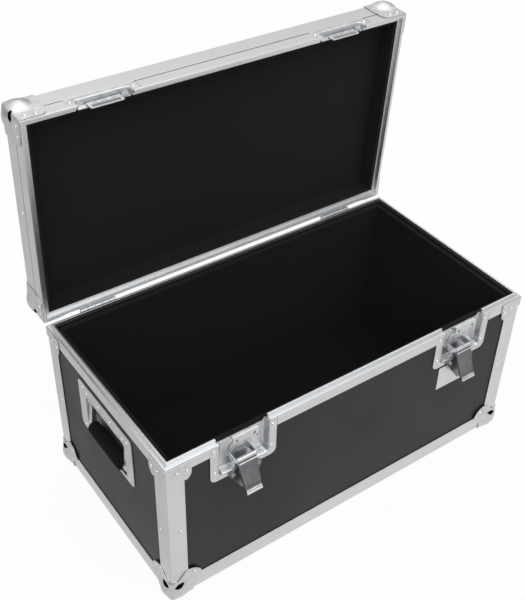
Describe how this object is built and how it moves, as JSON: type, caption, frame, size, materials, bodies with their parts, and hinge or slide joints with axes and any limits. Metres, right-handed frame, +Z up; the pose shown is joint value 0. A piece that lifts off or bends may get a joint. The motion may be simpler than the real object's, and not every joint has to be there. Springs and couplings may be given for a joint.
{
  "type": "accessory flight case",
  "caption": "Hard flight case for accessories: black laminated panels in aluminium extrusions, ball corners, recessed turn latches, recessed sprung handles and a hinged lid, shown open.",
  "frame": {"origin": "on the floor, under the middle of the box around the open case, 17.7 mm behind the middle of the base", "axes": "+Z up, +Y from the latch side to the hinge side, +X along the front to the right seen from the front"},
  "size_m": [0.6672, 0.4372, 0.6389],
  "materials": {
    "laminate": "black laminate over plywood, satin",
    "aluminium_extrusion": "mill finish anodised",
    "zinc_plated_steel": "bright zinc plated pressed steel",
    "foam": "matte black lining",
    "grip_rubber": "moulded black rubber"
  },
  "bodies": {
    "case": {"back_left_brace": "zinc_plated_steel", "back_left_corner_post": "aluminium_extrusion", "back_left_foot_corner": "zinc_plated_steel", "back_right_brace": "zinc_plated_steel", "back_right_corner_post": "aluminium_extrusion", "back_right_foot_corner": "zinc_plated_steel", "base_back_panel": "laminate", "base_floor_panel": "laminate", "base_front_panel": "laminate", "base_left_panel": "laminate", "base_lining": "foam", "base_right_panel": "laminate", "base_rim_front_left": "aluminium_extrusion", "base_rim_front_middle": "aluminium_extrusion", "base_rim_front_right": "aluminium_extrusion", "base_rim_sides_and_back": "aluminium_extrusion", "bottom_edge_frame": "aluminium_extrusion", "front_left_brace": "zinc_plated_steel", "front_left_corner_post": "aluminium_extrusion", "front_left_foot_corner": "zinc_plated_steel", "front_right_brace": "zinc_plated_steel", "front_right_corner_post": "aluminium_extrusion", "front_right_foot_corner": "zinc_plated_steel", "left_handle_dish": "zinc_plated_steel", "left_hinge_base_leaf": "zinc_plated_steel", "left_latch_dish": "zinc_plated_steel", "right_handle_dish": "zinc_plated_steel", "right_hinge_base_leaf": "zinc_plated_steel", "right_latch_dish": "zinc_plated_steel"},
    "lid": {"lid_front_panel": "laminate", "lid_back_panel": "laminate", "lid_left_panel": "laminate", "lid_right_panel": "laminate", "lid_top_panel": "laminate", "lid_lining": "foam", "lid_edge_frame": "aluminium_extrusion", "lid_rim_front_left": "aluminium_extrusion", "lid_rim_front_middle": "aluminium_extrusion", "lid_rim_front_right": "aluminium_extrusion", "lid_rim_sides_and_back": "aluminium_extrusion", "lid_front_left_corner": "zinc_plated_steel", "lid_front_right_corner": "zinc_plated_steel", "lid_back_left_corner": "zinc_plated_steel", "lid_back_right_corner": "zinc_plated_steel", "left_latch_keeper": "zinc_plated_steel", "right_latch_keeper": "zinc_plated_steel", "left_hinge_lid_leaf": "zinc_plated_steel", "right_hinge_lid_leaf": "zinc_plated_steel"},
    "left_drum": {"left_latch_drum": "zinc_plated_steel"},
    "left_hook": {"left_latch_hook": "zinc_plated_steel"},
    "left_front_wing": {"left_latch_front_wing": "zinc_plated_steel"},
    "left_rear_wing": {"left_latch_rear_wing": "zinc_plated_steel"},
    "left_handle": {"left_handle_bail": "zinc_plated_steel", "left_handle_grip": "grip_rubber"},
    "right_drum": {"right_latch_drum": "zinc_plated_steel"},
    "right_hook": {"right_latch_hook": "zinc_plated_steel"},
    "right_front_wing": {"right_latch_front_wing": "zinc_plated_steel"},
    "right_rear_wing": {"right_latch_rear_wing": "zinc_plated_steel"},
    "right_handle": {"right_handle_bail": "zinc_plated_steel", "right_handle_grip": "grip_rubber"}
  },
  "joints": [
    {"name": "lid_hinge", "type": "hinge", "parent": "case", "child": "lid", "pos_m": [0, 0.15817, 0.2815], "axis": [1, 0, 0], "range_deg": [0, 86.8]},
    {"name": "left_latch_turn", "type": "hinge", "parent": "case", "child": "left_drum", "pos_m": [-0.202, -0.18973, 0.247], "axis": [0, -1, 0], "range_deg": [0, 180]},
    {"name": "left_hook_draw", "type": "slide", "parent": "case", "child": "left_hook", "axis": [0, 0.9417, -0.3363], "range_m": [0, 0.00743]},
    {"name": "left_front_wing_fold", "type": "hinge", "parent": "left_drum", "child": "left_front_wing", "pos_m": [-0.202, -0.19523, 0.241], "axis": [-1, 0, 0], "range_deg": [0, 67]},
    {"name": "left_rear_wing_fold", "type": "hinge", "parent": "left_drum", "child": "left_rear_wing", "pos_m": [-0.202, -0.18973, 0.2355], "axis": [-1, 0, 0], "range_deg": [0, 78]},
    {"name": "right_latch_turn", "type": "hinge", "parent": "case", "child": "right_drum", "pos_m": [0.202, -0.18973, 0.247], "axis": [0, -1, 0], "range_deg": [0, 180]},
    {"name": "right_hook_draw", "type": "slide", "parent": "case", "child": "right_hook", "axis": [0, 0.9417, -0.3363], "range_m": [0, 0.00743]},
    {"name": "right_front_wing_fold", "type": "hinge", "parent": "right_drum", "child": "right_front_wing", "pos_m": [0.202, -0.19523, 0.241], "axis": [-1, 0, 0], "range_deg": [0, 67]},
    {"name": "right_rear_wing_fold", "type": "hinge", "parent": "right_drum", "child": "right_rear_wing", "pos_m": [0.202, -0.18973, 0.2355], "axis": [-1, 0, 0], "range_deg": [0, 78]},
    {"name": "left_handle_lift", "type": "hinge", "parent": "case", "child": "left_handle", "pos_m": [-0.319, -0.01913, 0.2215], "axis": [0, 1, 0], "range_deg": [0, 90], "stiffness_Nm_per_rad": 0.35},
    {"name": "right_handle_lift", "type": "hinge", "parent": "case", "child": "right_handle", "pos_m": [0.319, -0.01913, 0.2215], "axis": [0, -1, 0], "range_deg": [0, 90], "stiffness_Nm_per_rad": 0.35}
  ],
  "couplings": [
    {"joint": "left_hook_draw", "follows": "left_latch_turn", "m_per_rad": 0.002366},
    {"joint": "left_rear_wing_fold", "follows": "left_front_wing_fold", "ratio": 1.1642},
    {"joint": "right_hook_draw", "follows": "right_latch_turn", "m_per_rad": 0.002366},
    {"joint": "right_rear_wing_fold", "follows": "right_front_wing_fold", "ratio": 1.1642}
  ]
}
